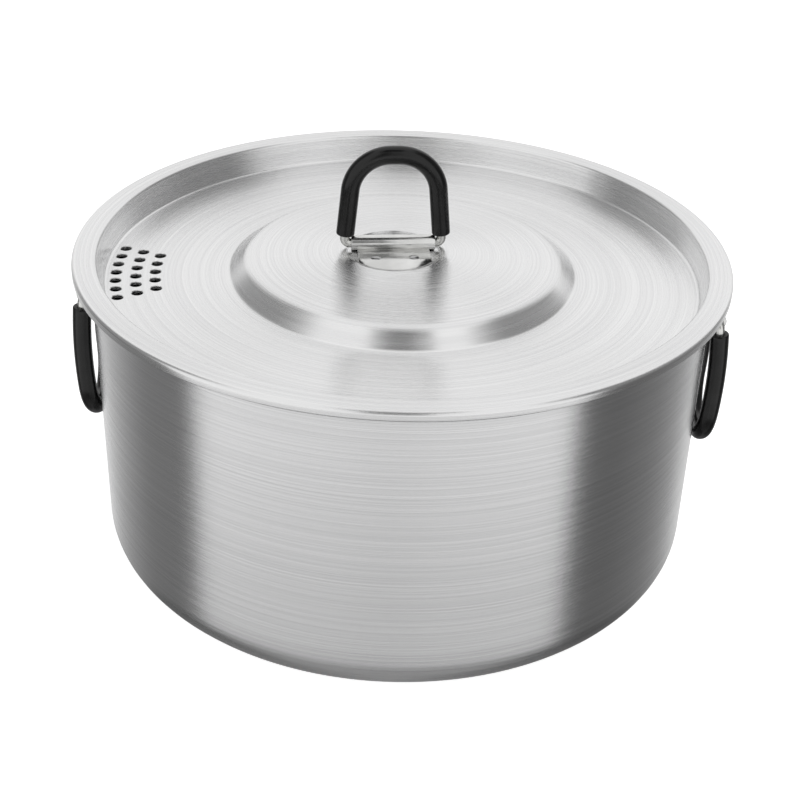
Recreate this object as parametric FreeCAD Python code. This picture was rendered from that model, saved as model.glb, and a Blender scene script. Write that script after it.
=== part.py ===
import FreeCAD
import Part
import os
from math import acos, atan2, cos, degrees, pi, radians, sin, tan

# Aluminium stock pot with a strainer lid and three folding loop handles. Millimetres.
# Origin at the centre of the underside, +Z up, side handles on +X and -X, strainer
# holes of the lid towards -X, flap of the lid's strap bracket towards -Y.

# ---- pot shell ------------------------------------------------------------------
WALL_R = 111.6            # outer radius of the wall
WALL_T = 1.5
CORNER_R = 15.5           # outer radius of the corner between wall and base
CORNER_SPLIT_Z = 6.1      # halfway round the corner's inner bend
CORNER_SECTORS = 16       # a multiple of 8, so that sectors meet on the diagonals
BASE_T = 2.0
RIM_TOP = 116.8           # height of the rim's seat for the lid
RIM_R = 116.2             # outermost radius of the rim
RIM_LIP_T = 2.1           # thickness of the rim's turned-down lip
RIM_LIP_Z = RIM_TOP - 3.2  # height of the lip's lower edge
RIM_ROUND = 1.35
RIM_BEND = 2.0            # inner radius of the bend from wall to rim
RIM_HOOK_ROUND = 0.4      # corner between the rim's underside and its lip
RIM_FOOT_ROUND = 0.6      # outer edge of the lip's foot
RIM_SPLIT_Z = RIM_TOP - RIM_BEND  # where the straight wall ends

# ---- lid shell ------------------------------------------------------------------
LID_T = 1.2
LID_R = 118.0
LID_EDGE_Z = RIM_TOP + LID_T   # top of the lid's outer edge
LIP_Z = RIM_TOP - 1.8     # lower edge of the lid's turned-down lip
LIP_ROUND = 1.2
SHEET_EDGE = 0.3          # rounding of a cut sheet edge
LIP_INSIDE_ROUND = 0.2
PLUG_TOP_ROUND = 0.4      # under the flange, where the plug wall starts
FLANGE_IN_R = 109.5       # where flange and plug wall meet
FLANGE_CROWN = 0.35       # rise of the flange from its edge to its inner side
STEP_ROUND = 1.4
FLOOR_R = 107.4
FLOOR_Z = RIM_TOP - 8.8   # top face of the sunken floor
FLOOR_FILLET = 1.2
PLATEAU_BASE_R = 63.2
PLATEAU_EDGE_R = 56.5
PLATEAU_EDGE_Z = RIM_TOP - 3.0
PLATEAU_TOP_Z = RIM_TOP - 1.2  # crown of the domed plateau
SHOULDER_ROUND = 6.0
SHOULDER_FILLET = 3.0
DOME_R = 800.0
PLATEAU_SPLIT_R = PLATEAU_BASE_R + SHOULDER_FILLET  # on the flat floor, past the shoulder
FLOOR_SPLIT_R = FLOOR_R - 1.5  # on the flat floor, short of the plug wall
LID_TURN = 7.0            # degrees, how the loose lid sits turned on the pot

# ---- strainer holes -------------------------------------------------------------
HOLE_D = 4.0
HOLE_PITCH = 6.75         # between neighbours along an arc
HOLE_ROWS = ((103.4, 7), (96.3, 6), (89.5, 5))

# ---- recess for the lid's bracket -----------------------------------------------
SEAT_X = -3.5             # the recess sits off the lid's centre, towards the holes
SEAT_R = 16.9
SEAT_Z = RIM_TOP - 2.4
SEAT_BEVEL = 0.5
SEAT_PAD_SINK = 0.65      # share of the sheet's thickness from plateau top to pad top
SEAT_CONE = 4.0           # height and spread of the cone that cuts the bevel
FLAP_GAP = 0.6            # radial, flap edge to recess wall

# ---- strap brackets -------------------------------------------------------------
WIRE_R = 1.75
RUNNING_FIT = 0.05        # radial, wire in barrel
STRAP_T = 1.0
BARREL_BORE = WIRE_R + RUNNING_FIT
BARREL_R = BARREL_BORE + STRAP_T
BARREL_HALF = 15.3
FLAP_HALF = 13.15

# ---- wire loops and sleeves -----------------------------------------------------
WIRE_END_GAP = 1.0        # from the barrel's middle to each wire end
ELBOW_R = 1.9
ELBOW_U = 15.7            # where the wire turns out of the barrel
LID_LEAN = 5.5            # degrees, the legs close in towards the far bar
SIDE_LEAN = 2.8
LEG_BARE = 1.3            # bare wire between elbow and sleeve
LID_LOOP_R = 14.5         # corners between the legs and the far bar
SIDE_LOOP_R = 15.5
SLEEVE_R = 3.35
SLEEVE_FIT = 0.02         # radial, sleeve on wire
SLEEVE_BORE = WIRE_R + SLEEVE_FIT
LID_LEG = 17.2            # sleeved part of each leg
SIDE_LEG = 34.3
SIDE_BOW_OUT = 7.0        # degrees, leg's slope away from the wall at the barrel
SIDE_BOW_IN = 3.0         # degrees, leg's slope towards the wall at the far bar
# leg, bow, lean and corner radius of each kind of loop
LID_LOOP = (LID_LEG, 0, LID_LEAN, LID_LOOP_R)
SIDE_LOOP = (SIDE_LEG, SIDE_BOW_OUT + SIDE_BOW_IN, SIDE_LEAN, SIDE_LOOP_R)

# ---- where the brackets sit -----------------------------------------------------
LID_PIVOT_Y = 3.2
LID_PIVOT_Z = SEAT_Z + BARREL_R
BARREL_CLEAR = 0.05       # barrel to pot wall
SIDE_PIVOT_X = WALL_R + BARREL_R + BARREL_CLEAR
SIDE_PIVOT_Z = RIM_TOP - 17.5
SIDE_FLAP_H = 11.8

# ---- rivets ---------------------------------------------------------------------
RIVET_R = 1.2
RIVET_FIT = 0.02
RIVET_HEAD_R = 1.9
RIVET_HEAD_H = 0.6
RIVET_SPREAD = 6.85       # each rivet's distance from the bracket's middle
LID_RIVET_Y = -6.0
SIDE_RIVET_Z = SIDE_PIVOT_Z + 7.0
RIVET_SAG = 0.03          # keeps the flat tail head clear of the curved wall

# ---- working sizes --------------------------------------------------------------
OVER = 4.0                # how far a cutting tool runs past what it cuts
BIG = 300.0               # larger than the pot
VOLUME_TOL = 0.01

OUT = "parts"
ORIGIN = FreeCAD.Vector(0, 0, 0)
AX = FreeCAD.Vector(1, 0, 0)
AY = FreeCAD.Vector(0, 1, 0)
AZ = FreeCAD.Vector(0, 0, 1)


def vec(x, y, z):
    return FreeCAD.Vector(x, y, z)


def line(a, b):
    return Part.LineSegment(a, b).toShape()


def arc(a, mid, b):
    return Part.Arc(a, mid, b).toShape()


def one_solid(shape, label):
    """The single valid solid a shape should be."""
    shape = shape.removeSplitter()
    if len(shape.Solids) != 1 or not shape.isValid():
        raise ValueError(label + " is not one valid solid")
    solid = shape.Solids[0]
    if solid.Volume < 0:
        solid.reverse()
    return solid


# ---- turned shapes --------------------------------------------------------------
def corner_arc(before, corner, after, radius):
    """Start, middle and end of the arc that rounds a corner of an outline."""
    to_a = (before - corner).normalize()
    to_b = (after - corner).normalize()
    half = acos(to_a.dot(to_b)) / 2
    reach = radius / tan(half)
    bisector = (to_a + to_b).normalize()
    centre = corner + bisector * (radius / sin(half))
    return corner + to_a * reach, centre - bisector * radius, corner + to_b * reach


def rounded_outline(corners):
    """Closed wire in the XZ plane through (x, z, radius) corners."""
    points = [vec(x, 0, z) for x, z, _ in corners]
    pieces = []
    for i, (_, _, radius) in enumerate(corners):
        after = points[(i + 1) % len(points)]
        if radius > 0:
            pieces.append(corner_arc(points[i - 1], points[i], after, radius))
        else:
            pieces.append((points[i],))
    edges = []
    for i, piece in enumerate(pieces):
        if len(piece) == 3:
            edges.append(arc(*piece))
        edges.append(line(piece[-1], pieces[(i + 1) % len(pieces)][0]))
    return Part.Wire(edges)


def turned(corners):
    """Solid of revolution about +Z."""
    return Part.Face(rounded_outline(corners)).revolve(ORIGIN, AZ, 360)


# ---- pot ------------------------------------------------------------------------
def rivet_angle():
    """Angle about +Z between a side rivet and its bracket's middle."""
    return degrees(RIVET_SPREAD / WALL_R)


def radial_pin(radius, inner, outer, angle, z):
    """Cylinder along a horizontal radius, from inner to outer."""
    pin = Part.makeCylinder(radius, outer - inner, vec(inner, 0, z), AX)
    return pin.rotated(ORIGIN, AZ, angle)


def pot_shell():
    """Drawn shell: flat base, rounded corner, straight wall, turned-over rim."""
    lip_in = RIM_R - RIM_LIP_T
    under_rim = RIM_TOP - WALL_T
    bore = WALL_R - WALL_T
    shell = turned([
        (0, 0, 0),
        (WALL_R, 0, CORNER_R),
        (WALL_R, under_rim, RIM_BEND - WALL_T),
        (lip_in, under_rim, RIM_HOOK_ROUND),
        (lip_in, RIM_LIP_Z, SHEET_EDGE),
        (RIM_R, RIM_LIP_Z, RIM_FOOT_ROUND),
        (RIM_R, RIM_TOP, RIM_ROUND),
        (bore, RIM_TOP, RIM_BEND),
        (bore, BASE_T, CORNER_R - WALL_T),
        (0, BASE_T, 0),
    ])
    for side in (0, 180):
        for turn in (-rivet_angle(), rivet_angle()):
            angle = side + turn
            hole = radial_pin(RIVET_R + RIVET_FIT, bore - OVER, WALL_R + OVER, angle, SIDE_RIVET_Z)
            shell = shell.cut(hole)
    return one_solid(shell, "pot shell")


def disc(radius, z_from, z_to):
    return Part.makeCylinder(radius, z_to - z_from, vec(0, 0, z_from))


def sectors(ring, label):
    """A ring as equal sectors that meet face to face."""
    step = 360 / CORNER_SECTORS
    wedge = Part.makeCylinder(BIG, 2 * BIG, vec(0, 0, -BIG), AZ, step)
    piece = one_solid(ring.common(wedge), label)
    return Part.makeCompound([piece.rotated(ORIGIN, AZ, i * step) for i in range(CORNER_SECTORS)])


def pot_parts():
    """The one drawn shell as base, corner, wall and rim, meeting face to face."""
    shell = pot_shell()
    flat_r = WALL_R - CORNER_R
    base = disc(flat_r, -OVER, CORNER_R)
    lower = disc(BIG, -OVER, CORNER_R)
    corner = shell.common(lower).cut(base)
    split = disc(BIG, -OVER, CORNER_SPLIT_Z)
    middle = disc((WALL_R + RIM_R - RIM_LIP_T) / 2, CORNER_R, RIM_SPLIT_Z)
    return {
        "pot_base": one_solid(shell.common(base), "pot base"),
        "pot_corner_low": sectors(corner.common(split), "lower corner"),
        "pot_corner_high": sectors(corner.cut(split), "upper corner"),
        "pot_wall": one_solid(shell.common(middle), "pot wall"),
        "pot_rim": one_solid(shell.cut(lower).cut(middle), "pot rim"),
    }


# ---- lid ------------------------------------------------------------------------
def lid_sheet():
    """Pressed lid: lip, flange, plug wall, sunken floor, shoulder and domed plateau."""
    crown_z = LID_EDGE_Z + FLANGE_CROWN
    under_z = LID_EDGE_Z - LID_T
    lean = (FLANGE_IN_R - FLOOR_R) / (crown_z - FLOOR_Z)
    wall_out = FLOOR_R + LID_T / cos(atan2(lean, 1))
    shoulder = atan2(PLATEAU_EDGE_Z - FLOOR_Z, PLATEAU_BASE_R - PLATEAU_EDGE_R)
    shift = LID_T * tan(shoulder / 2)
    return turned([
        (0, PLATEAU_TOP_Z, 0),
        (PLATEAU_EDGE_R / 2, PLATEAU_TOP_Z, DOME_R),
        (PLATEAU_EDGE_R, PLATEAU_EDGE_Z, SHOULDER_ROUND),
        (PLATEAU_BASE_R, FLOOR_Z, SHOULDER_FILLET),
        (FLOOR_R, FLOOR_Z, FLOOR_FILLET),
        (FLANGE_IN_R, crown_z, STEP_ROUND),
        (LID_R, LID_EDGE_Z, LIP_ROUND),
        (LID_R, LIP_Z, SHEET_EDGE),
        (LID_R - LID_T, LIP_Z, SHEET_EDGE),
        (LID_R - LID_T, under_z, LIP_INSIDE_ROUND),
        (wall_out + (under_z - FLOOR_Z) * lean, under_z, PLUG_TOP_ROUND),
        (wall_out - LID_T * lean, FLOOR_Z - LID_T, FLOOR_FILLET + LID_T),
        (PLATEAU_BASE_R - shift, FLOOR_Z - LID_T, SHOULDER_FILLET + LID_T),
        (PLATEAU_EDGE_R - shift, PLATEAU_EDGE_Z - LID_T, SHOULDER_ROUND - LID_T),
        (PLATEAU_EDGE_R / 2, PLATEAU_TOP_Z - LID_T, DOME_R),
        (0, PLATEAU_TOP_Z - LID_T, 0),
    ])


def with_recess(sheet):
    """Round flat recess stamped into the plateau for the bracket."""
    pad_top = PLATEAU_TOP_Z - LID_T * SEAT_PAD_SINK
    pad_base = SEAT_Z - LID_T
    pad = Part.makeCylinder(SEAT_R + LID_T, pad_top - pad_base, vec(SEAT_X, 0, pad_base))
    cut = Part.makeCylinder(SEAT_R, OVER, vec(SEAT_X, 0, SEAT_Z))
    bevel_z = PLATEAU_TOP_Z - 2 * SEAT_BEVEL
    bevel = Part.makeCone(SEAT_R, SEAT_R + SEAT_CONE, SEAT_CONE, vec(SEAT_X, 0, bevel_z))
    return sheet.fuse(pad).cut(cut).cut(bevel)


def strainer_drills():
    """One cylinder for each strainer hole, in three arcs centred on -X."""
    drills = []
    for radius, count in HOLE_ROWS:
        step = HOLE_PITCH / radius
        for i in range(count):
            angle = pi + step * (i - (count - 1) / 2)
            base = vec(radius * cos(angle), radius * sin(angle), FLOOR_Z - LID_T - OVER)
            drills.append(Part.makeCylinder(HOLE_D / 2, LID_T + 2 * OVER, base))
    return drills


def lid_rivet_points():
    return [(SEAT_X - RIVET_SPREAD, LID_RIVET_Y), (SEAT_X + RIVET_SPREAD, LID_RIVET_Y)]


def lid_rivet_drills():
    """Upright cylinders through strap and plateau, one for each rivet."""
    drills = []
    for x, y in lid_rivet_points():
        base = vec(x, y, SEAT_Z - OVER)
        drills.append(Part.makeCylinder(RIVET_R + RIVET_FIT, 2 * OVER, base))
    return drills


def lid_parts():
    """The one pressed sheet as plateau, floor and flange, meeting face to face."""
    sheet = with_recess(lid_sheet()).cut(strainer_drills() + lid_rivet_drills())
    sheet = one_solid(sheet, "lid sheet")
    inner = disc(PLATEAU_SPLIT_R, 0, BIG)
    outer = disc(FLOOR_SPLIT_R, 0, BIG)
    return {
        "lid_plateau": one_solid(sheet.common(inner), "lid plateau"),
        "lid_floor": one_solid(sheet.common(outer).cut(inner), "lid floor"),
        "lid_flange": one_solid(sheet.cut(outer), "lid flange"),
    }


# ---- wire loop ------------------------------------------------------------------
def bend(pos, way, normal, radius, angle):
    """Tangent arc turning way about normal: its edge, end point and end direction."""
    centre = pos + normal.cross(way) * radius
    arm = pos - centre
    half = FreeCAD.Rotation(normal, degrees(angle / 2))
    full = FreeCAD.Rotation(normal, degrees(angle))
    end = centre + full.multVec(arm)
    return arc(pos, centre + half.multVec(arm), end), end, full.multVec(way)


def half_loop(leg, bow, lean, corner_r):
    """Centreline from the barrel's middle (along +X) to the middle of the far bar.

    The legs run out along +Y and, with a bow, curve towards +Z. Returns the edges
    and how many of them carry no sleeve.
    """
    lean = radians(lean)
    elbow = vec(ELBOW_U, 0, 0)
    edges = [line(vec(WIRE_END_GAP, 0, 0), elbow)]
    edge, pos, way = bend(elbow, AX, AZ, ELBOW_R, pi / 2 + lean)
    edges.append(edge)
    sleeve_from = pos + way * LEG_BARE
    edges.append(line(pos, sleeve_from))
    bare = len(edges)
    if bow > 0:
        curl = way.cross(AZ)
        edge, pos, way = bend(sleeve_from, way, curl, leg / radians(bow), radians(bow))
    else:
        pos = sleeve_from + way * leg
        edge = line(sleeve_from, pos)
    edges.append(edge)
    normal = way.cross(AX * -1).normalize()
    edge, pos, way = bend(pos, way, normal, corner_r, acos(way.dot(AX * -1)))
    edges.append(edge)
    edges.append(line(pos, vec(0, pos.y, pos.z)))
    return edges, bare


def loop_path(loop, sleeved):
    """Wire of the whole loop, or only of its sleeved part."""
    half, bare = half_loop(*loop)
    if sleeved:
        half = half[bare:]
    other = [edge.mirror(ORIGIN, AX) for edge in reversed(half)]
    return Part.Wire(half + other)


def swept(path, radius, label):
    """Round bar along a path that starts at its first vertex."""
    first = path.Edges[0]
    start = first.valueAt(first.FirstParameter)
    way = first.tangentAt(first.FirstParameter)
    ring = Part.Wire(Part.makeCircle(radius, start, way))
    bar = path.makePipeShell([ring], True, False)
    expected = pi * radius ** 2 * path.Length
    if abs(bar.Volume - expected) > expected * VOLUME_TOL:
        raise ValueError(label + " sweep has the wrong volume")
    return one_solid(bar, label)


def loop_wire(loop):
    return swept(loop_path(loop, False), WIRE_R, "wire")


def loop_sleeve(loop):
    path = loop_path(loop, True)
    tube = swept(path, SLEEVE_R, "sleeve")
    return one_solid(tube.cut(swept(path, SLEEVE_BORE, "sleeve bore")), "sleeve")


# ---- strap brackets -------------------------------------------------------------
def barrel(centre, axis):
    """Rolled barrel of a strap, with its bore left solid."""
    base = centre - axis * BARREL_HALF
    return Part.makeCylinder(BARREL_R, 2 * BARREL_HALF, base, axis)


def barrel_bore(centre, axis):
    base = centre - axis * (BARREL_HALF + OVER)
    return Part.makeCylinder(BARREL_BORE, 2 * (BARREL_HALF + OVER), base, axis)


def lid_bracket():
    """Strap rolled round the wire, its flap flat in the recess of the lid."""
    centre = vec(SEAT_X, LID_PIVOT_Y, LID_PIVOT_Z)
    front = -SEAT_R
    flap = Part.makeBox(
        2 * FLAP_HALF, LID_PIVOT_Y - front, STRAP_T, vec(SEAT_X - FLAP_HALF, front, SEAT_Z)
    )
    inside = Part.makeCylinder(SEAT_R - FLAP_GAP, 2 * OVER, vec(SEAT_X, 0, SEAT_Z - OVER))
    strap = barrel(centre, AX).fuse(flap.common(inside))
    strap = strap.cut([barrel_bore(centre, AX)] + lid_rivet_drills())
    return one_solid(strap, "lid bracket")


def side_bracket():
    """Strap rolled round the wire, its flap curved to lie on the wall above it."""
    centre = vec(SIDE_PIVOT_X, 0, SIDE_PIVOT_Z)
    flap_top = SIDE_PIVOT_Z + SIDE_FLAP_H
    outer = disc(WALL_R + STRAP_T, SIDE_PIVOT_Z, flap_top)
    inner = disc(WALL_R, SIDE_PIVOT_Z, flap_top)
    block = Part.makeBox(BIG, 2 * FLAP_HALF, SIDE_FLAP_H, vec(0, -FLAP_HALF, SIDE_PIVOT_Z))
    flap = outer.cut(inner).common(block)
    strap = barrel(centre, AY).fuse(flap).cut(barrel_bore(centre, AY))
    for turn in (-rivet_angle(), rivet_angle()):
        hole = radial_pin(RIVET_R + RIVET_FIT, WALL_R - OVER, WALL_R + OVER, turn, SIDE_RIVET_Z)
        strap = strap.cut(hole)
    return one_solid(strap, "side bracket")


# ---- rivets ---------------------------------------------------------------------
def rivet(grip):
    """Rivet along +Z: shank from 0 to grip with a low domed head at either end."""
    dome_r = (RIVET_HEAD_R ** 2 + RIVET_HEAD_H ** 2) / (2 * RIVET_HEAD_H)
    ball = Part.makeSphere(dome_r, vec(0, 0, grip + RIVET_HEAD_H - dome_r))
    head = ball.common(Part.makeCylinder(RIVET_HEAD_R, RIVET_HEAD_H, vec(0, 0, grip)))
    tail = head.mirror(vec(0, 0, grip / 2), AZ)
    shank = Part.makeCylinder(RIVET_R, grip, ORIGIN)
    return one_solid(shank.fuse(head).fuse(tail), "rivet")


def lid_rivets():
    pins = []
    for x, y in lid_rivet_points():
        pins.append(rivet(STRAP_T + LID_T).translated(vec(x, y, SEAT_Z - LID_T)))
    return Part.makeCompound(pins)


def side_rivets():
    """Radial rivets through strap and wall, their inner heads clear of the curved wall."""
    grip = STRAP_T + WALL_T + RIVET_SAG
    pin = rivet(grip).rotated(ORIGIN, AY, 90)
    pin = pin.translated(vec(WALL_R - WALL_T - RIVET_SAG, 0, SIDE_RIVET_Z))
    turns = (-rivet_angle(), rivet_angle())
    return Part.makeCompound([pin.rotated(ORIGIN, AZ, turn) for turn in turns])


# ---- placing --------------------------------------------------------------------
def on_lid(shape):
    """Upright loop over the lid's bracket: X along the barrel, Y of the loop up."""
    stood = shape.rotated(ORIGIN, AX, 90)
    return stood.translated(vec(SEAT_X, LID_PIVOT_Y, LID_PIVOT_Z))


def on_side(shape):
    """Hanging loop at the +X wall: X of the loop along Y, Y of the loop down."""
    hung = shape.rotated(ORIGIN, AX, -90)
    hung = hung.rotated(ORIGIN, AZ, 90)
    hung = hung.rotated(ORIGIN, AY, -SIDE_BOW_OUT)
    return hung.translated(vec(SIDE_PIVOT_X, 0, SIDE_PIVOT_Z))


def build():
    """Every node of the pot, by name."""
    nodes = pot_parts()
    lid = lid_parts()
    lid["lid_bracket"] = lid_bracket()
    lid["lid_rivets"] = lid_rivets()
    lid["lid_handle_wire"] = on_lid(loop_wire(LID_LOOP))
    lid["lid_handle_sleeve"] = on_lid(loop_sleeve(LID_LOOP))
    for name, shape in lid.items():
        nodes[name] = shape.rotated(ORIGIN, AZ, LID_TURN)
    side = {
        "bracket": side_bracket(),
        "rivets": side_rivets(),
        "handle_wire": on_side(loop_wire(SIDE_LOOP)),
        "handle_sleeve": on_side(loop_sleeve(SIDE_LOOP)),
    }
    for name, shape in side.items():
        nodes["right_" + name] = shape
        nodes["left_" + name] = shape.rotated(ORIGIN, AZ, 180)
    return nodes


os.makedirs(OUT, exist_ok=True)
for node, solid in build().items():
    solid.exportStep(os.path.join(OUT, node + ".step"))
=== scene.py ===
from math import acos, atan2, cos, pi, radians, sin, sqrt, tan

import bmesh
import bpy
from mathutils import Matrix, Vector


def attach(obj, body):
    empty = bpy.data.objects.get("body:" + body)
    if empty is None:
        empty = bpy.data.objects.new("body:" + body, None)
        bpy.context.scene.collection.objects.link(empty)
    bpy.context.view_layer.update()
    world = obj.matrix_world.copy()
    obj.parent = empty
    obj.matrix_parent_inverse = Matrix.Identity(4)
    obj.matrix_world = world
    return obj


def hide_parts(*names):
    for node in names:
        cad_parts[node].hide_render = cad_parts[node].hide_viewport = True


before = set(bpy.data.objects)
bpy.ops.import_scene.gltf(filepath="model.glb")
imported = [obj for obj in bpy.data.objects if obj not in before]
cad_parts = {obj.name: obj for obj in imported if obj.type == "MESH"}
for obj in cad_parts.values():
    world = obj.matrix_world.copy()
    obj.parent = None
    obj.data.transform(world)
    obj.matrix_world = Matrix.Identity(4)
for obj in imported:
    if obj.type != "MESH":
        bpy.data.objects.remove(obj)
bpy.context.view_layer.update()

# ---- dimensions, in metres, as in the CAD source ----------------------------------
WALL_R = 0.1116
WALL_T = 0.0015
CORNER_R = 0.0155
BASE_T = 0.002
RIM_TOP = 0.1168
RIM_R = 0.1162
RIM_LIP_T = 0.0021
RIM_LIP_Z = RIM_TOP - 0.0032
RIM_ROUND = 0.00135
RIM_BEND = 0.002
RIM_HOOK_ROUND = 0.0004   # corner between the rim's underside and its lip
RIM_FOOT_ROUND = 0.0006   # outer edge of the lip's foot

LID_T = 0.0012
LID_R = 0.118
LID_EDGE_Z = RIM_TOP + LID_T
LIP_Z = RIM_TOP - 0.0018
LIP_ROUND = 0.0012
SHEET_EDGE = 0.0003       # rounding of a cut sheet edge
LIP_INSIDE_ROUND = 0.0002
PLUG_TOP_ROUND = 0.0004   # under the flange, where the plug wall starts
FLANGE_IN_R = 0.1095
FLANGE_CROWN = 0.00035
STEP_ROUND = 0.0014
FLOOR_R = 0.1074
FLOOR_Z = RIM_TOP - 0.0088
FLOOR_FILLET = 0.0012
PLATEAU_BASE_R = 0.0632
PLATEAU_EDGE_R = 0.0565
PLATEAU_EDGE_Z = RIM_TOP - 0.003
PLATEAU_TOP_Z = RIM_TOP - 0.0012
SHOULDER_ROUND = 0.006
SHOULDER_FILLET = 0.003
DOME_R = 0.8
LID_TURN = radians(7)
HOLE_R = 0.002
HOLE_EDGE = 0.00022       # bevel at the top of a hole
HOLE_PITCH = 0.00675
HOLE_ROWS = ((0.1034, 7), (0.0963, 6), (0.0895, 5))
SEAT_X = -0.0035
SEAT_R = 0.0169
SEAT_Z = RIM_TOP - 0.0024
SEAT_BEVEL = 0.0005
SEAT_FOOT = 0.0003        # bevel at the foot of the recess
SEAT_PAD_SINK = 0.65      # share of the sheet's thickness from plateau top to pad top
OVER = 0.001              # how far a cutting tool runs past the sheet
TALL = 0.01               # how far the recess tool stands above the plateau

WIRE_R = 0.00175
BARREL_BORE = 0.0018
BARREL_R = 0.0028
BARREL_HALF = 0.0153
STRAP_T = 0.001
STRAP_EDGE = 0.0002       # eased edge of the flap
BARREL_EDGE = 0.0003      # eased end of the barrel
FLAP_HALF = 0.01315
FLAP_GAP = 0.0006         # radial, flap edge to recess wall
FLAP_CORNER = 0.0015      # upper corners of the side flaps
WIRE_END_GAP = 0.001
ELBOW_R = 0.0019
ELBOW_U = 0.0157
LID_LEAN = radians(5.5)
SIDE_LEAN = radians(2.8)
LEG_BARE = 0.0013
LID_LOOP_R = 0.0145
SIDE_LOOP_R = 0.0155
SLEEVE_R = 0.00335
SLEEVE_FIT = 0.00002      # radial, sleeve on wire
SLEEVE_EDGE = 0.0006      # eased end of a sleeve
LID_LEG = 0.0172
SIDE_LEG = 0.0343
SIDE_BOW_OUT = radians(7)
SIDE_BOW_IN = radians(3)
# leg, bow, lean and corner radius of each kind of loop
LID_LOOP = (LID_LEG, 0.0, LID_LEAN, LID_LOOP_R)
SIDE_LOOP = (SIDE_LEG, SIDE_BOW_OUT + SIDE_BOW_IN, SIDE_LEAN, SIDE_LOOP_R)
LID_PIVOT_Y = 0.0032
LID_PIVOT_Z = SEAT_Z + BARREL_R
BARREL_CLEAR = 0.00005    # barrel to pot wall
SIDE_PIVOT_X = WALL_R + BARREL_R + BARREL_CLEAR
SIDE_PIVOT_Z = RIM_TOP - 0.0175
SIDE_FLAP_TOP = SIDE_PIVOT_Z + 0.0118
RIVET_R = 0.0012
RIVET_SAG = 0.00003       # keeps the flat tail head clear of the curved wall
RIVET_HEAD_R = 0.0019
RIVET_HEAD_H = 0.0006
RIVET_SPREAD = 0.00685
LID_RIVET_Y = -0.006
SIDE_RIVET_Z = SIDE_PIVOT_Z + 0.007

# sides that round things are drawn with, and how finely outlines are divided
LATHE_STEPS = 288
PAD_STEPS = 96
RECESS_STEPS = 144
HOLE_STEPS = 28
WIRE_STEPS = 24
SLEEVE_STEPS = 40
BARREL_STEPS = 48
RIVET_STEPS = 32
ARC_STEP = radians(8)
LONGEST_RUN = 0.006
SHARP_ANGLE = radians(35)
ON_AXIS = 1e-7            # closer than this to the axis counts as on it
SAME_PLACE = 1e-9

X_AXIS = Vector((1, 0, 0))
Z_AXIS = Vector((0, 0, 1))


# ---- mesh helpers -----------------------------------------------------------------
def new_object(name, bm):
    """Object of a finished mesh, its faces turned outwards, linked to the scene."""
    bmesh.ops.recalc_face_normals(bm, faces=bm.faces)
    mesh = bpy.data.meshes.new(name)
    bm.to_mesh(mesh)
    bm.free()
    obj = bpy.data.objects.new(name, mesh)
    bpy.context.scene.collection.objects.link(obj)
    return obj


def smooth(obj):
    """Smooth shading, with edges past the sharp angle kept sharp."""
    for face in obj.data.polygons:
        face.use_smooth = True
    obj.data.set_sharp_from_angle(angle=SHARP_ANGLE)


def quarter_turn(steps):
    """Angles from 0 to 90 degrees, for eased edges."""
    return [radians(90) * k / steps for k in range(steps + 1)]


def round_corner(before, corner, after, radius):
    """Points of the arc that rounds a corner of a flat outline."""
    to_a = (before - corner).normalized()
    to_b = (after - corner).normalized()
    half = acos(max(-1.0, min(1.0, to_a.dot(to_b)))) / 2
    centre = corner + (to_a + to_b).normalized() * (radius / sin(half))
    start = corner + to_a * (radius / tan(half)) - centre
    end = corner + to_b * (radius / tan(half)) - centre
    turn = 1 if start.x * end.y - start.y * end.x > 0 else -1
    sweep = turn * (pi - 2 * half)
    steps = max(4, int(abs(sweep) / ARC_STEP) + 1)
    points = []
    for k in range(steps + 1):
        a = sweep * k / steps
        spoke = Vector((
            start.x * cos(a) - start.y * sin(a),
            start.x * sin(a) + start.y * cos(a),
        ))
        points.append(centre + spoke)
    return points


def outline(corners):
    """Closed flat outline through (x, z, radius) corners."""
    points = []
    for i, (x, z, radius) in enumerate(corners):
        corner = Vector((x, z))
        if radius > 0:
            before = Vector(corners[i - 1][:2])
            after = Vector(corners[(i + 1) % len(corners)][:2])
            points.extend(round_corner(before, corner, after, radius))
        else:
            points.append(corner)
    return points


def split_long(points):
    """The same closed outline with its long straight runs divided."""
    out = []
    for i, p in enumerate(points):
        q = points[(i + 1) % len(points)]
        parts = int((q - p).length / LONGEST_RUN) + 1
        out.extend(p.lerp(q, k / parts) for k in range(parts))
    return out


def skin(bm, rings, closed=False):
    """Quads between successive rings; a ring of one vertex closes to a point."""
    pairs = list(zip(rings, rings[1:]))
    if closed:
        pairs.append((rings[-1], rings[0]))
    for a, b in pairs:
        count = max(len(a), len(b))
        for k in range(count):
            j = (k + 1) % count
            if len(a) == 1:
                bm.faces.new((a[0], b[k], b[j]))
            elif len(b) == 1:
                bm.faces.new((a[k], a[j], b[0]))
            else:
                bm.faces.new((a[k], a[j], b[j], b[k]))


def turned_rings(bm, points, steps, centre=Vector((0, 0, 0))):
    """Rings round a vertical axis through centre, one for each (radius, z) point."""
    rings = []
    for p in points:
        if p.x < ON_AXIS:
            rings.append([bm.verts.new(centre + Vector((0, 0, p.y)))])
            continue
        ring = []
        for k in range(steps):
            a = 2 * pi * k / steps
            ring.append(bm.verts.new(centre + Vector((p.x * cos(a), p.x * sin(a), p.y))))
        rings.append(ring)
    return rings


def lathe(name, corners):
    """Closed turned solid about Z from an outline that starts and ends on the axis."""
    points = outline(corners)
    ends = points[0], points[-1]
    run = [
        p for p in split_long(points)
        if p.x > ON_AXIS or any((p - end).length < SAME_PLACE for end in ends)
    ]
    bm = bmesh.new()
    skin(bm, turned_rings(bm, run, LATHE_STEPS))
    return new_object(name, bm)


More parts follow.
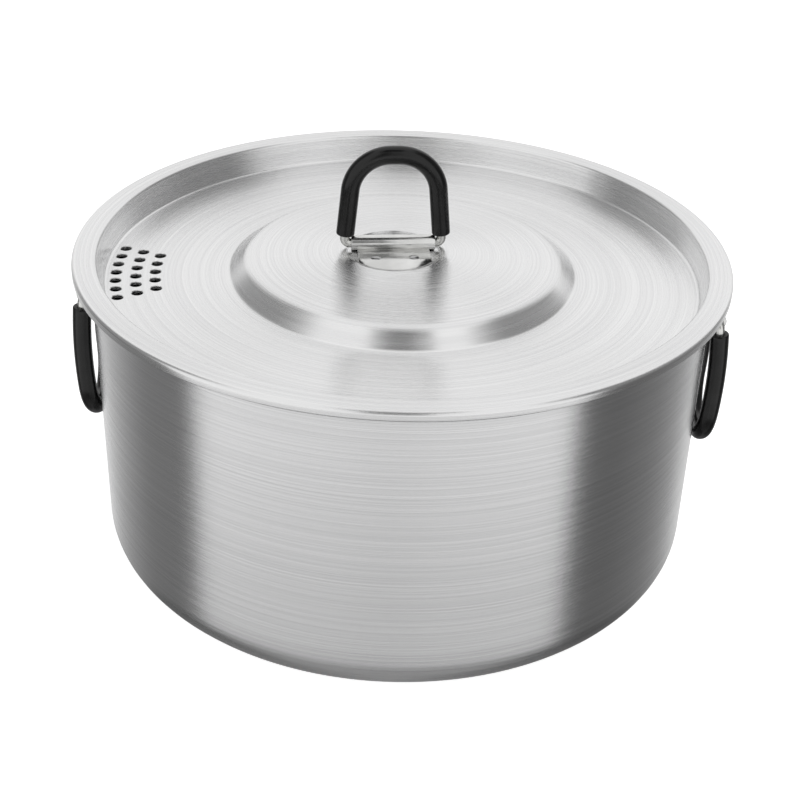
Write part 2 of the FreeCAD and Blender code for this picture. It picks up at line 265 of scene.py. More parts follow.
def apply_boolean(obj, tool, operation):
    """Applies a boolean of tool to obj and removes the tool."""
    mod = obj.modifiers.new("boolean", "BOOLEAN")
    mod.operation = operation
    mod.solver = "EXACT"
    mod.object = tool
    graph = bpy.context.evaluated_depsgraph_get()
    mesh = bpy.data.meshes.new_from_object(obj.evaluated_get(graph))
    obj.modifiers.clear()
    obj.data = mesh
    bpy.data.objects.remove(tool)


# ---- shells -----------------------------------------------------------------------
def make_pot():
    """Drawn pot with its rim turned out and down."""
    lip_in = RIM_R - RIM_LIP_T
    under_rim = RIM_TOP - WALL_T
    bore = WALL_R - WALL_T
    return lathe("pot_body", [
        (0, 0, 0),
        (WALL_R, 0, CORNER_R),
        (WALL_R, under_rim, RIM_BEND - WALL_T),
        (lip_in, under_rim, RIM_HOOK_ROUND),
        (lip_in, RIM_LIP_Z, SHEET_EDGE),
        (RIM_R, RIM_LIP_Z, RIM_FOOT_ROUND),
        (RIM_R, RIM_TOP, RIM_ROUND),
        (bore, RIM_TOP, RIM_BEND),
        (bore, BASE_T, CORNER_R - WALL_T),
        (0, BASE_T, 0),
    ])


def make_lid():
    """Pressed lid with its strainer holes and the round recess of the bracket."""
    crown_z = LID_EDGE_Z + FLANGE_CROWN
    under_z = LID_EDGE_Z - LID_T
    lean = (FLANGE_IN_R - FLOOR_R) / (crown_z - FLOOR_Z)
    wall_out = FLOOR_R + LID_T / cos(atan2(lean, 1))
    shoulder = atan2(PLATEAU_EDGE_Z - FLOOR_Z, PLATEAU_BASE_R - PLATEAU_EDGE_R)
    shift = LID_T * tan(shoulder / 2)
    sheet = lathe("lid_pressing", [
        (0, PLATEAU_TOP_Z, 0),
        (PLATEAU_EDGE_R / 2, PLATEAU_TOP_Z, DOME_R),
        (PLATEAU_EDGE_R, PLATEAU_EDGE_Z, SHOULDER_ROUND),
        (PLATEAU_BASE_R, FLOOR_Z, SHOULDER_FILLET),
        (FLOOR_R, FLOOR_Z, FLOOR_FILLET),
        (FLANGE_IN_R, crown_z, STEP_ROUND),
        (LID_R, LID_EDGE_Z, LIP_ROUND),
        (LID_R, LIP_Z, SHEET_EDGE),
        (LID_R - LID_T, LIP_Z, SHEET_EDGE),
        (LID_R - LID_T, under_z, LIP_INSIDE_ROUND),
        (wall_out + (under_z - FLOOR_Z) * lean, under_z, PLUG_TOP_ROUND),
        (wall_out - LID_T * lean, FLOOR_Z - LID_T, FLOOR_FILLET + LID_T),
        (PLATEAU_BASE_R - shift, FLOOR_Z - LID_T, SHOULDER_FILLET + LID_T),
        (PLATEAU_EDGE_R - shift, PLATEAU_EDGE_Z - LID_T, SHOULDER_ROUND - LID_T),
        (PLATEAU_EDGE_R / 2, PLATEAU_TOP_Z - LID_T, DOME_R),
        (0, PLATEAU_TOP_Z - LID_T, 0),
    ])
    add_seat(sheet)
    cut_holes(sheet)
    return sheet


def add_seat(sheet):
    """Pad under the plateau with the round recess sunk into it."""
    seat = Vector((SEAT_X, 0, 0))
    pad_top = PLATEAU_TOP_Z - LID_T * SEAT_PAD_SINK
    pad_base = SEAT_Z - LID_T
    pad_r = SEAT_R + LID_T
    pad_edge = LID_T * 0.3
    pad = [(0, pad_base), (pad_r - pad_edge, pad_base), (pad_r, pad_base + pad_edge),
           (pad_r, pad_top), (0, pad_top)]
    bm = bmesh.new()
    skin(bm, turned_rings(bm, [Vector(p) for p in pad], PAD_STEPS, seat))
    apply_boolean(sheet, new_object("pad_tool", bm), "UNION")

    edge = 2 * SEAT_BEVEL
    edge_z = PLATEAU_TOP_Z - edge
    cut = [(0, SEAT_Z), (SEAT_R - SEAT_FOOT, SEAT_Z), (SEAT_R, SEAT_Z + SEAT_FOOT)]
    cut += [(SEAT_R + edge * (1 - cos(a)), edge_z + edge * sin(a)) for a in quarter_turn(6)]
    cut += [(SEAT_R + edge, PLATEAU_TOP_Z + TALL), (0, PLATEAU_TOP_Z + TALL)]
    bm = bmesh.new()
    skin(bm, turned_rings(bm, [Vector(p) for p in cut], RECESS_STEPS, seat))
    apply_boolean(sheet, new_object("recess_tool", bm), "DIFFERENCE")


def cut_holes(sheet):
    """Strainer holes in arcs about the lid's centre, each with a small bevel."""
    low, high = FLOOR_Z - LID_T - OVER, FLOOR_Z + OVER
    hole = [(0, low), (HOLE_R, low), (HOLE_R, FLOOR_Z - HOLE_EDGE),
            (HOLE_R + HOLE_EDGE, FLOOR_Z), (HOLE_R + HOLE_EDGE, high), (0, high)]
    bm = bmesh.new()
    for radius, count in HOLE_ROWS:
        step = HOLE_PITCH / radius
        for i in range(count):
            a = pi + step * (i - (count - 1) / 2)
            at = Vector((radius * cos(a), radius * sin(a), 0))
            skin(bm, turned_rings(bm, [Vector(p) for p in hole], HOLE_STEPS, at))
    apply_boolean(sheet, new_object("hole_tool", bm), "DIFFERENCE")


# ---- wire loops and sleeves -------------------------------------------------------
def follow_bend(points, ways, normal, radius, angle, steps):
    """Adds a tangent arc to a run of points and directions."""
    centre = points[-1] + normal.cross(ways[-1]) * radius
    arm = points[-1] - centre
    way = ways[-1]
    for k in range(1, steps + 1):
        spin = Matrix.Rotation(angle * k / steps, 3, normal)
        points.append(centre + spin @ arm)
        ways.append(spin @ way)


def follow_line(points, ways, length, steps=1):
    """Adds a straight stretch to a run of points and directions."""
    start = points[-1]
    for k in range(1, steps + 1):
        points.append(start + ways[-1] * (length * k / steps))
        ways.append(ways[-1].copy())


def loop_run(loop, sleeved):
    """Points and directions of a loop's centreline: X along the barrel, Y away from it."""
    leg, bow, lean, corner_r = loop
    points = [Vector((WIRE_END_GAP, 0, 0))]
    ways = [X_AXIS.copy()]
    follow_line(points, ways, ELBOW_U - WIRE_END_GAP)
    follow_bend(points, ways, Z_AXIS, ELBOW_R, pi / 2 + lean, 10)
    follow_line(points, ways, LEG_BARE)
    bare = len(points) - 1
    if bow > 0:
        follow_bend(points, ways, ways[-1].cross(Z_AXIS), leg / bow, bow, 20)
    else:
        follow_line(points, ways, leg, 12)
    normal = ways[-1].cross(-X_AXIS).normalized()
    turn = acos(ways[-1].dot(-X_AXIS))
    follow_bend(points, ways, normal, corner_r, turn, 24)
    if sleeved:
        points, ways = points[bare:], ways[bare:]
    for p, w in list(zip(points, ways))[::-1]:
        points.append(Vector((-p.x, p.y, p.z)))
        ways.append(Vector((w.x, -w.y, -w.z)))
    return points, ways


def sweep_rings(bm, points, ways, radii, steps):
    """Rings round a centreline, kept from twisting."""
    side = Z_AXIS.copy()
    rings = []
    for p, w, r in zip(points, ways, radii):
        side = (side - w * side.dot(w)).normalized()
        other = w.cross(side)
        ring = []
        for k in range(steps):
            a = 2 * pi * k / steps
            ring.append(bm.verts.new(p + (side * cos(a) + other * sin(a)) * r))
        rings.append(ring)
    return rings


def make_wire(name, loop):
    """Bent wire with both its ends inside the barrel."""
    points, ways = loop_run(loop, False)
    bm = bmesh.new()
    rings = sweep_rings(bm, points, ways, [WIRE_R] * len(points), WIRE_STEPS)
    for ring in (rings[0], rings[-1]):
        bm.faces.new(ring)
    skin(bm, rings)
    return new_object(name, bm)


def make_sleeve(name, loop):
    """Tube over the loop with softly rounded ends and its bore open on the wire."""
    points, ways = loop_run(loop, True)
    ease = quarter_turn(6)
    run_p = [points[0] + ways[0] * SLEEVE_EDGE * (1 - cos(a)) for a in ease]
    run_p += points[1:-1]
    run_p += [points[-1] - ways[-1] * SLEEVE_EDGE * (1 - cos(a)) for a in ease[::-1]]
    run_w = [ways[0]] * len(ease) + ways[1:-1] + [ways[-1]] * len(ease)
    end_r = [SLEEVE_R - SLEEVE_EDGE * (1 - sin(a)) for a in ease]
    run_r = end_r + [SLEEVE_R] * (len(points) - 2) + end_r[::-1]
    bm = bmesh.new()
    outer = sweep_rings(bm, run_p, run_w, run_r, SLEEVE_STEPS)
    bores = [WIRE_R + SLEEVE_FIT] * len(points)
    inner = sweep_rings(bm, points, ways, bores, SLEEVE_STEPS)
    skin(bm, outer + inner[::-1], closed=True)
    return new_object(name, bm)


# ---- strap brackets and rivets ----------------------------------------------------
def add_barrel(bm, place):
    """Rolled barrel along X with rounded ends, open bored."""
    soft = BARREL_EDGE
    profile = [(BARREL_HALF, BARREL_BORE), (BARREL_HALF, BARREL_R - soft)]
    for a in quarter_turn(4)[1:]:
        profile.append((BARREL_HALF - soft * (1 - cos(a)), BARREL_R - soft * (1 - sin(a))))
    profile += [(-x, r) for x, r in profile[::-1]]
    rings = []
    for x, r in profile:
        ring = []
        for k in range(BARREL_STEPS):
            a = 2 * pi * k / BARREL_STEPS
            ring.append(bm.verts.new(place @ Vector((x, r * cos(a), r * sin(a)))))
        rings.append(ring)
    skin(bm, rings, closed=True)


def flap_plate(bm, border, bend):
    """Flap over a flat border, edges eased; bend maps (u, v, height) to its place."""
    count = len(border)
    middle = sum(border, Vector((0, 0))) / count
    soft = STRAP_EDGE
    mid = soft * 0.3  # half way round the eased upper edge
    levels = [(soft, 0), (0, soft), (0, STRAP_T - soft), (mid, STRAP_T - mid), (soft, STRAP_T)]
    rings = []
    for inset, height in levels:
        ring = []
        for i, p in enumerate(border):
            along = (border[(i + 1) % count] - border[i - 1]).normalized()
            inward = Vector((-along.y, along.x))
            if inward.dot(middle - p) < 0:
                inward = -inward
            q = p + inward * inset
            ring.append(bm.verts.new(bend(q.x, q.y, height)))
        rings.append(ring)
    skin(bm, rings)
    for ring in (rings[0], rings[-1]):
        grid_fill(bm, ring)


def grid_fill(bm, ring):
    """Fills a ring made of matching left and right runs with strips across it."""
    count = len(ring)
    for i in range(count // 2 - 1):
        bm.faces.new((ring[i], ring[i + 1], ring[count - 2 - i], ring[count - 1 - i]))


def rolled_strap(name, flap, place):
    """One closed strap made of its flap and the barrel rolled at its end."""
    strap = new_object(name, flap)
    barrel = bmesh.new()
    add_barrel(barrel, place)
    apply_boolean(strap, new_object(name + "_barrel", barrel), "UNION")
    return strap


def make_lid_bracket():
    """Strap on the lid: its flap fills the front of the round recess."""
    bm = bmesh.new()
    reach = SEAT_R - FLAP_GAP
    tail = LID_PIVOT_Y + BARREL_R * 0.5
    corner_y = -sqrt(reach ** 2 - FLAP_HALF ** 2)
    right = [Vector((FLAP_HALF, tail + (corner_y - tail) * k / 6)) for k in range(7)]
    spread = atan2(FLAP_HALF, -corner_y)
    for k in range(1, 13):
        a = spread * (1 - k / 12.5)  # the last stays clear of its mirrored twin
        right.append(Vector((reach * sin(a), -reach * cos(a))))
    border = right + [Vector((-p.x, p.y)) for p in right[::-1]]
    flap_plate(bm, border, lambda u, v, height: Vector((SEAT_X + u, v, SEAT_Z + height)))
    return rolled_strap("lid_strap", bm, Matrix.Translation((SEAT_X, LID_PIVOT_Y, LID_PIVOT_Z)))


def make_side_bracket(name):
    """Strap on the +X wall: flap above, following the wall, barrel below it."""
    bm = bmesh.new()
    soft = FLAP_CORNER
    low, high = SIDE_PIVOT_Z, SIDE_FLAP_TOP
    right = [Vector((FLAP_HALF, low + (high - soft - low) * k / 6)) for k in range(7)]
    for a in quarter_turn(5)[1:]:
        right.append(Vector((FLAP_HALF - soft * (1 - cos(a)), high - soft * (1 - sin(a)))))
    right += [Vector(((FLAP_HALF - soft) * (1 - k / 8), high)) for k in range(1, 8)]
    border = right + [Vector((-p.x, p.y)) for p in right[::-1]]

    def bend(u, v, height):
        a = u / WALL_R
        r = WALL_R + height
        return Vector((r * cos(a), r * sin(a), v))

    flap_plate(bm, border, bend)
    spot = Matrix.Translation((SIDE_PIVOT_X, 0, SIDE_PIVOT_Z))
    return rolled_strap(name, bm, spot @ Matrix.Rotation(pi / 2, 4, "Z"))


def add_rivet(bm, place, grip):
    """Rivet along Z of place: low domed heads above grip and below 0."""
    dome = (RIVET_HEAD_R ** 2 + RIVET_HEAD_H ** 2) / (2 * RIVET_HEAD_H)
    cap = []
    for k in range(9):
        r = RIVET_HEAD_R * k / 8
        cap.append(Vector((r, RIVET_HEAD_H - dome + sqrt(dome ** 2 - r ** 2))))
    top = [Vector((p.x, grip + p.y)) for p in cap]
    tail = [Vector((p.x, -p.y)) for p in cap[::-1]]
    run = top + [Vector((RIVET_R, grip)), Vector((RIVET_R, 0))] + tail
    rings = turned_rings(bm, run, RIVET_STEPS)
    skin(bm, rings)
    for ring in rings:
        for v in ring:
            v.co = place @ v.co


def make_lid_rivets():
    """Both rivets of the lid's strap, through the sheet."""
    bm = bmesh.new()
    for x in (-RIVET_SPREAD, RIVET_SPREAD):
        spot = Matrix.Translation((SEAT_X + x, LID_RIVET_Y, SEAT_Z - LID_T))
        add_rivet(bm, spot, STRAP_T + LID_T)
    return new_object("lid_fixings", bm)


def make_side_rivets(name):
    """Both rivets of a strap on the +X wall, square to the wall."""
    bm = bmesh.new()
    for side in (-1, 1):
        turn = Matrix.Rotation(side * RIVET_SPREAD / WALL_R, 4, "Z")
        spot = Matrix.Translation((WALL_R - WALL_T - RIVET_SAG, 0, SIDE_RIVET_Z))
        lay = Matrix.Rotation(pi / 2, 4, "Y")
        add_rivet(bm, turn @ spot @ lay, STRAP_T + WALL_T + RIVET_SAG)
    return new_object(name, bm)


# ---- placing ----------------------------------------------------------------------
LID_SPIN = Matrix.Rotation(LID_TURN, 4, "Z")
UPRIGHT = (
    Matrix.Translation((SEAT_X, LID_PIVOT_Y, LID_PIVOT_Z))
    @ Matrix.Rotation(pi / 2, 4, "X")
)
HANGING = (
    Matrix.Translation((SIDE_PIVOT_X, 0, SIDE_PIVOT_Z))
    @ Matrix.Rotation(-SIDE_BOW_OUT, 4, "Y")
    @ Matrix.Rotation(pi / 2, 4, "Z")
    @ Matrix.Rotation(-pi / 2, 4, "X")
)
HALF_TURN = Matrix.Rotation(pi, 4, "Z")


def put(obj, place, body, nodes):
    """Sets a piece in the frame, on its body, in place of its nodes."""
    obj.data.transform(place)
    smooth(obj)
    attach(obj, body)
    for node in nodes:
        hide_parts(node)
    return obj


STILL = Matrix.Identity(4)
POT_NODES = ("pot_base", "pot_corner_low", "pot_corner_high", "pot_wall", "pot_rim")
LID_NODES = ("lid_plateau", "lid_floor", "lid_flange")
pot = put(make_pot(), STILL, "pot", POT_NODES)
lid = put(make_lid(), LID_SPIN, "lid", LID_NODES)
straps = [put(make_lid_bracket(), LID_SPIN, "lid", ["lid_bracket"])]
rivets = [put(make_lid_rivets(), LID_SPIN, "lid", ["lid_rivets"])]
wires = [put(make_wire("lid_loop_wire", LID_LOOP), LID_SPIN @ UPRIGHT, "lid_handle",
             ["lid_handle_wire"])]
sleeves = [put(make_sleeve("lid_loop_sleeve", LID_LOOP), LID_SPIN @ UPRIGHT, "lid_handle",
               ["lid_handle_sleeve"])]
for side, turn in (("right", STILL), ("left", HALF_TURN)):
    body = side + "_handle"
    straps.append(put(make_side_bracket(side + "_strap"), turn, "pot", [side + "_bracket"]))
    rivets.append(put(make_side_rivets(side + "_fixings"), turn, "pot", [side + "_rivets"]))
    wires.append(put(make_wire(side + "_loop_wire", SIDE_LOOP), turn @ HANGING, body,
                     [side + "_handle_wire"]))
    sleeves.append(put(make_sleeve(side + "_loop_sleeve", SIDE_LOOP), turn @ HANGING, body,
                       [side + "_handle_sleeve"]))


# ---- materials --------------------------------------------------------------------
NOISE_RANGE = (0.3, 0.7)  # the part of a noise that colours and roughness run over
# scales of the noise along the grooves of turned metal and across them, per metre
FINE_GROOVES = (14.0, 5200.0)
BROAD_GROOVES = (5.0, 1700.0)
# depths of relief, in metres
GROOVE_DEPTH = 0.00006
POLISH_DEPTH = 0.00003
SLEEVE_GRAIN_DEPTH = 0.00008
PATCH_SHARE = 0.12        # scale of a polished metal's patches, as a share of its grain's


def node_at(tree, kind, x, y, **settings):
    node = tree.nodes.new(kind)
    node.location = (x, y)
    for key, value in settings.items():
        setattr(node, key, value)
    return node


def groove_vector(tree, along, across):
    """Coordinate that changes slowly round the axis and fast across the grooves."""
    coord = node_at(tree, "ShaderNodeTexCoord", -1400, 0)
    split = node_at(tree, "ShaderNodeSeparateXYZ", -1200, 0)
    tree.links.new(coord.outputs["Object"], split.inputs[0])
    flat = node_at(tree, "ShaderNodeCombineXYZ", -1050, 120)
    tree.links.new(split.outputs["X"], flat.inputs["X"])
    tree.links.new(split.outputs["Y"], flat.inputs["Y"])
    radius = node_at(tree, "ShaderNodeVectorMath", -900, 120, operation="LENGTH")
    tree.links.new(flat.outputs[0], radius.inputs[0])
    both = node_at(tree, "ShaderNodeMath", -750, 60, operation="ADD")
    tree.links.new(radius.outputs["Value"], both.inputs[0])
    tree.links.new(split.outputs["Z"], both.inputs[1])
    groove = node_at(tree, "ShaderNodeCombineXYZ", -600, 0)
    tree.links.new(split.outputs["X"], groove.inputs["X"])
    tree.links.new(split.outputs["Y"], groove.inputs["Y"])
    tree.links.new(both.outputs[0], groove.inputs["Z"])
    scaled = node_at(tree, "ShaderNodeMapping", -450, 0, vector_type="POINT")
    scaled.inputs["Scale"].default_value = (along, along, across)
    tree.links.new(groove.outputs[0], scaled.inputs["Vector"])
    return scaled.outputs["Vector"]


def ramp(tree, source, low, high, x, y):
    """Colour ramp from low to high over a noise."""
    node = node_at(tree, "ShaderNodeValToRGB", x, y)
    for mark, position, colour in zip(node.color_ramp.elements, NOISE_RANGE, (low, high)):
        mark.position = position
        mark.color = colour
    tree.links.new(source, node.inputs[0])
    return node.outputs["Color"]


def spread(tree, source, low, high, x, y):
    """Range from low to high over a noise."""
    node = node_at(tree, "ShaderNodeMapRange", x, y)
    node.inputs["From Min"].default_value = NOISE_RANGE[0]
    node.inputs["From Max"].default_value = NOISE_RANGE[1]
    node.inputs["To Min"].default_value = low
    node.inputs["To Max"].default_value = high
    tree.links.new(source, node.inputs["Value"])
    return node.outputs["Result"]


def noise(tree, vector, scale, detail, x, y):
    node = node_at(tree, "ShaderNodeTexNoise", x, y)
    node.inputs["Scale"].default_value = scale
    node.inputs["Detail"].default_value = detail
    tree.links.new(vector, node.inputs["Vector"])
    return node.outputs["Fac"]


def bump(tree, height, strength, distance, shader, x, y):
    node = node_at(tree, "ShaderNodeBump", x, y)
    node.inputs["Strength"].default_value = strength
    node.inputs["Distance"].default_value = distance
    tree.links.new(height, node.inputs["Height"])
    tree.links.new(node.outputs["Normal"], shader.inputs["Normal"])


def new_material(name):
    mat = bpy.data.materials.new(name)
    mat.use_nodes = True
    return mat, mat.node_tree, mat.node_tree.nodes["Principled BSDF"]


def turned_metal(name, dark, light, rough, anisotropic, relief):
    """Spun and brushed aluminium: fine grooves round the axis, broader tonal rings."""
    mat, tree, shader = new_material(name)
    shader.inputs["Metallic"].default_value = 1.0
    shader.inputs["Anisotropic"].default_value = anisotropic
    shader.inputs["Anisotropic Rotation"].default_value = 0.25  # spreads across the grooves
    fine = noise(tree, groove_vector(tree, *FINE_GROOVES), 1.0, 4.0, -250, 250)
    broad = noise(tree, groove_vector(tree, *BROAD_GROOVES), 1.0, 5.0, -250, -50)
    tree.links.new(ramp(tree, broad, dark, light, 0, 300), shader.inputs["Base Color"])
    tree.links.new(spread(tree, fine, *rough, 0, 50), shader.inputs["Roughness"])
    tangent = node_at(tree, "ShaderNodeTangent", 0, -300, direction_type="RADIAL", axis="Z")
    tree.links.new(tangent.outputs["Tangent"], shader.inputs["Tangent"])
    bump(tree, fine, relief, GROOVE_DEPTH, shader, 0, -120)
    return mat


def grained(name, dark, light, rough, grain, patch, relief, sockets):
    """Even surface; grain and patch are (scale, detail) of noises, relief (strength, depth)."""
    mat, tree, shader = new_material(name)
    for socket, value in sockets.items():
        shader.inputs[socket].default_value = value
    coord = node_at(tree, "ShaderNodeTexCoord", -900, 0).outputs["Object"]
    fine = noise(tree, coord, *grain, -600, 100)
    broad = noise(tree, coord, *patch, -600, -150)
    tree.links.new(ramp(tree, broad, dark, light, -300, 300), shader.inputs["Base Color"])
    tree.links.new(spread(tree, fine, *rough, -300, 0), shader.inputs["Roughness"])
    bump(tree, fine, *relief, shader, -300, -250)
    return mat


def plain_metal(name, dark, light, rough, scale, relief):
    """Satin steel or aluminium with a light, uneven polish."""
    return grained(name, dark, light, rough, (scale, 4.0), (scale * PATCH_SHARE, 2.0),
                   (relief, POLISH_DEPTH), {"Metallic": 1.0})


POT_METAL = turned_metal("pot_metal", (0.75, 0.75, 0.755, 1), (0.86, 0.86, 0.865, 1),
                         rough=(0.16, 0.25), anisotropic=0.98, relief=0.45)
LID_METAL = turned_metal("lid_metal", (0.79, 0.79, 0.795, 1), (0.91, 0.91, 0.91, 1),
                         rough=(0.20, 0.30), anisotropic=0.95, relief=0.5)
STRAP_STEEL = plain_metal("strap_steel", (0.66, 0.66, 0.65, 1), (0.80, 0.80, 0.79, 1),
                          rough=(0.11, 0.20), scale=900.0, relief=0.1)
RIVET_METAL = plain_metal("rivet_metal", (0.38, 0.38, 0.38, 1), (0.50, 0.50, 0.50, 1),
                          rough=(0.12, 0.20), scale=900.0, relief=0.1)
WIRE_STEEL = plain_metal("wire_steel", (0.62, 0.62, 0.60, 1), (0.74, 0.74, 0.72, 1),
                         rough=(0.18, 0.30), scale=1200.0, relief=0.1)
# black tubing with a fine grain and a soft gloss
SLEEVE = grained("sleeve_black", (0.001, 0.001, 0.001, 1), (0.005, 0.005, 0.005, 1),
                 rough=(0.14, 0.26), grain=(2200.0, 3.0), patch=(160.0, 3.0),
                 relief=(0.35, SLEEVE_GRAIN_DEPTH), sockets={"Specular IOR Level": 0.4})


def coat(objects, mat):
    for obj in objects:
        obj.data.materials.clear()
        obj.data.materials.append(mat)


coat([pot], POT_METAL)
coat([lid], LID_METAL)
coat(straps, STRAP_STEEL)
coat(rivets, RIVET_METAL)
coat(wires, WIRE_STEEL)
coat(sleeves, SLEEVE)

# ---- floor, light and camera ------------------------------------------------------
HALF_FLOOR = 6.0
CORNERS = ((-1, -1), (1, -1), (1, 1), (-1, 1))
bm = bmesh.new()
bm.faces.new([bm.verts.new((x * HALF_FLOOR, y * HALF_FLOOR, 0)) for x, y in CORNERS])
floor = new_object("floor", bm)
floor_mat, _, floor_shader = new_material("floor_white")
floor_shader.inputs["Base Color"].default_value = (0.9, 0.9, 0.9, 1)
floor_shader.inputs["Roughness"].default_value = 0.9
floor_shader.inputs["Specular IOR Level"].default_value = 0.1
floor_shader.inputs["Emission Color"].default_value = (1, 1, 1, 1)
floor_shader.inputs["Emission Strength"].default_value = 0.7
coat([floor], floor_mat)
floor.visible_glossy = False  # the metal mirrors the studio's own levels, not the floor


def area_light(name, at, towards, size, power):
    data = bpy.data.lights.new(name, "AREA")
    data.shape = "RECTANGLE"
    data.size, data.size_y = size
    data.energy = power
    obj = bpy.data.objects.new(name, data)
    bpy.context.scene.collection.objects.link(obj)
    aim = (Vector(towards) - Vector(at)).to_track_quat("-Z", "Y").to_matrix().to_4x4()
    obj.matrix_world = Matrix.Translation(at) @ aim
    return obj


key_light = area_light("key_light", at=(0.5, -0.9, 1.5), towards=(0, 0, 0.1),
                       size=(0.5, 0.5), power=5.0)
key_light.visible_glossy = False  # no hot spot on the metal

# brightness of the surroundings round the pot: azimuth in degrees from the front
# (right is positive) and level
ROUND_THE_POT = (
    (-180, 0.92), (-150, 0.90), (-137, 0.56), (-124, 0.38), (-106, 0.20), (-78, 0.18),
    (-75, 0.96), (-60, 0.98), (0, 0.94), (52, 0.98), (66, 0.96), (69, 0.17), (86, 0.12),
    (112, 0.20), (132, 0.38), (144, 0.74), (180, 0.92),
)
# share of that level, over the sine of the elevation
UP_AND_DOWN = (
    (-1.0, 0.36), (-0.84, 0.25), (-0.73, 0.20), (-0.63, 0.62), (-0.55, 1.0), (0.0, 1.0),
)
FADE = 0.30               # how far the flats fade into the floor's level low down
FADE_LEVEL = 0.70
# azimuth and level for directions higher up, with a narrow dark card in front
ABOVE_THE_POT = (
    (-180, 0.92), (-143, 0.92), (-134, 0.27), (-89, 0.27), (-81, 0.92), (-14, 0.90),
    (-9, 0.24), (10, 0.24), (14, 0.90), (61, 0.92), (69, 0.24), (130, 0.24), (139, 0.95),
    (180, 0.93),
)
# sines of the elevation between which one zone gives way to the next
NEAR_FLOOR = (-0.70, -0.54)
ABOVE_RING = (0.10, 0.30)
OVERHEAD = (0.80, 0.90)
SKY = 0.92                # overhead softbox
DIM = 0.04                # dim patch overhead, towards the front
DIM_EDGE = (0.962, 0.984)  # cosines of the angle off its middle where it fades
DIM_TO = (0.02, -0.28, 0.960)  # direction of its middle


def level_ramp(tree, source, stops, start, span, x, y):
    """Grey ramp through (place, level) stops over a source that runs 0 to 1 in the span."""
    stops = [((place - start) / span, level) for place, level in stops]
    node = node_at(tree, "ShaderNodeValToRGB", x, y)
    marks = node.color_ramp.elements
    marks[0].position, marks[-1].position = stops[0][0], stops[-1][0]
    for position, _ in stops[1:-1]:
        marks.new(position)
    for mark, (_, level) in zip(marks, stops):
        mark.color = (level, level, level, 1)
    tree.links.new(source, node.inputs[0])
    return node.outputs["Color"]


def soft_step(tree, source, low, high, x, y):
    """Share that rises smoothly from 0 at low to 1 at high."""
    node = node_at(tree, "ShaderNodeMapRange", x, y, interpolation_type="SMOOTHSTEP")
    node.inputs["From Min"].default_value = low
    node.inputs["From Max"].default_value = high
    tree.links.new(source, node.inputs["Value"])
    return node.outputs["Result"]


def blend(tree, share, low, high, x, y, kind="MIX"):
    """Mix of two colours; either may be a socket or a grey level."""
    node = node_at(tree, "ShaderNodeMix", x, y, data_type="RGBA", blend_type=kind)
    for value, key in ((share, "Factor_Float"), (low, "A_Color"), (high, "B_Color")):
        socket = next(i for i in node.inputs if i.identifier == key)
        if isinstance(value, bpy.types.NodeSocket):
            tree.links.new(value, socket)
        elif key == "Factor_Float":
            socket.default_value = value
        else:
            socket.default_value = (value, value, value, 1)
    return next(o for o in node.outputs if o.identifier == "Result_Color")


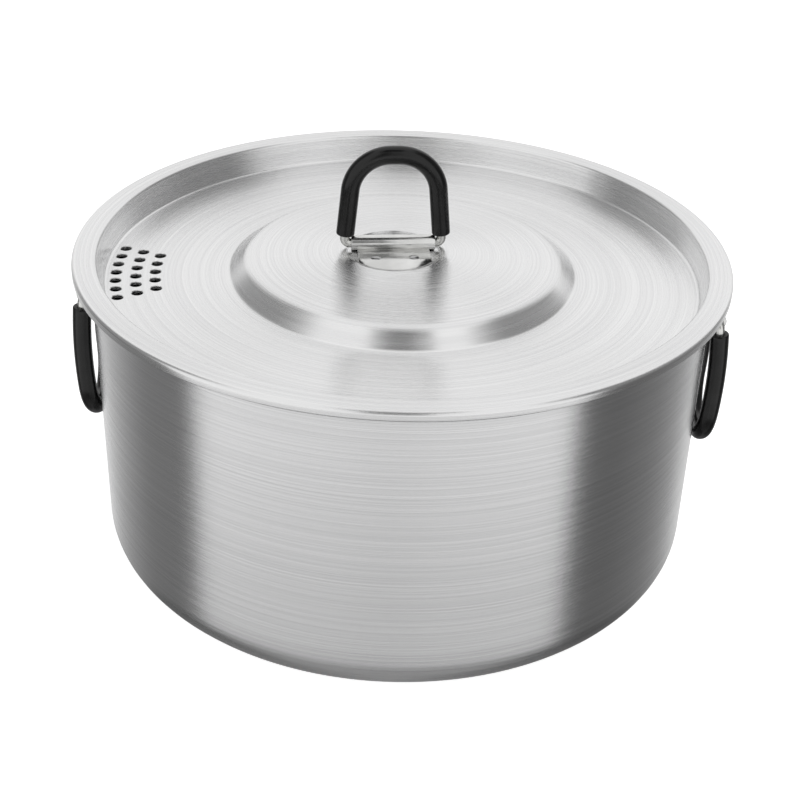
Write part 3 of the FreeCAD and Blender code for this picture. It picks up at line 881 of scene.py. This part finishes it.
def studio_world():
    """Even white studio: bright in front, dark flats at both sides, softbox above."""
    world = bpy.data.worlds.new("studio")
    world.use_nodes = True
    tree = world.node_tree
    way = node_at(tree, "ShaderNodeTexCoord", -1200, 0).outputs["Generated"]
    split = node_at(tree, "ShaderNodeSeparateXYZ", -1000, 0)
    tree.links.new(way, split.inputs[0])
    back = node_at(tree, "ShaderNodeMath", -850, 100, operation="MULTIPLY")
    back.inputs[1].default_value = -1.0
    tree.links.new(split.outputs["Y"], back.inputs[0])
    turn = node_at(tree, "ShaderNodeMath", -700, 100, operation="ARCTAN2")
    tree.links.new(split.outputs["X"], turn.inputs[0])
    tree.links.new(back.outputs[0], turn.inputs[1])
    share = node_at(tree, "ShaderNodeMath", -550, 100, operation="MULTIPLY_ADD")
    share.inputs[1].default_value = 1 / (2 * pi)
    share.inputs[2].default_value = 0.5
    tree.links.new(turn.outputs[0], share.inputs[0])
    ring = level_ramp(tree, share.outputs[0], ROUND_THE_POT, -180, 360, -400, 200)
    height = node_at(tree, "ShaderNodeMath", -700, -100, operation="MULTIPLY_ADD")
    height.inputs[1].default_value = 0.5
    height.inputs[2].default_value = 0.5
    tree.links.new(split.outputs["Z"], height.inputs[0])
    fall = level_ramp(tree, height.outputs[0], UP_AND_DOWN, -1, 2, -400, -50)
    faded = blend(tree, FADE, ring, FADE_LEVEL, -300, 400)
    near_floor = soft_step(tree, split.outputs["Z"], *NEAR_FLOOR, -400, 500)
    ring = blend(tree, near_floor, faded, ring, -200, 300)
    low = blend(tree, 1.0, ring, fall, -100, 150, "MULTIPLY")
    toward = node_at(tree, "ShaderNodeVectorMath", -700, -300, operation="DOT_PRODUCT")
    toward.inputs[1].default_value = DIM_TO
    tree.links.new(way, toward.inputs[0])
    patch = soft_step(tree, toward.outputs["Value"], *DIM_EDGE, -400, -300)
    flats = level_ramp(tree, share.outputs[0], ABOVE_THE_POT, -180, 360, -400, -700)
    high = soft_step(tree, split.outputs["Z"], *OVERHEAD, -400, -900)
    dome = blend(tree, high, flats, SKY, -250, -600)
    sky = blend(tree, patch, dome, DIM, -100, -200)
    above = soft_step(tree, split.outputs["Z"], *ABOVE_RING, -400, -500)
    surround = blend(tree, above, low, sky, 100, 0)
    tree.links.new(surround, tree.nodes["Background"].inputs["Color"])
    bpy.context.scene.world = world


studio_world()

bpy.context.scene.view_settings.view_transform = "Standard"

CAMERA_AT = (0.00072, -0.47628, 0.33634)
CAMERA_DOWN = radians(30.833)
CAMERA_ROLL = radians(1.962)
CAMERA_AZIMUTH = radians(1.0)
CAMERA_LENS = 64.65
SENSOR_WIDTH = 36.0

cam_data = bpy.data.cameras.new("camera")
cam_data.lens = CAMERA_LENS
cam_data.sensor_width = SENSOR_WIDTH
cam_data.clip_start = 0.01
cam = bpy.data.objects.new("camera", cam_data)
bpy.context.scene.collection.objects.link(cam)
cam.matrix_world = (
    Matrix.Rotation(CAMERA_AZIMUTH, 4, "Z")
    @ Matrix.Translation(CAMERA_AT)
    @ Matrix.Rotation(pi / 2 - CAMERA_DOWN, 4, "X")
    @ Matrix.Rotation(CAMERA_ROLL, 4, "Z")
)
bpy.context.scene.camera = cam
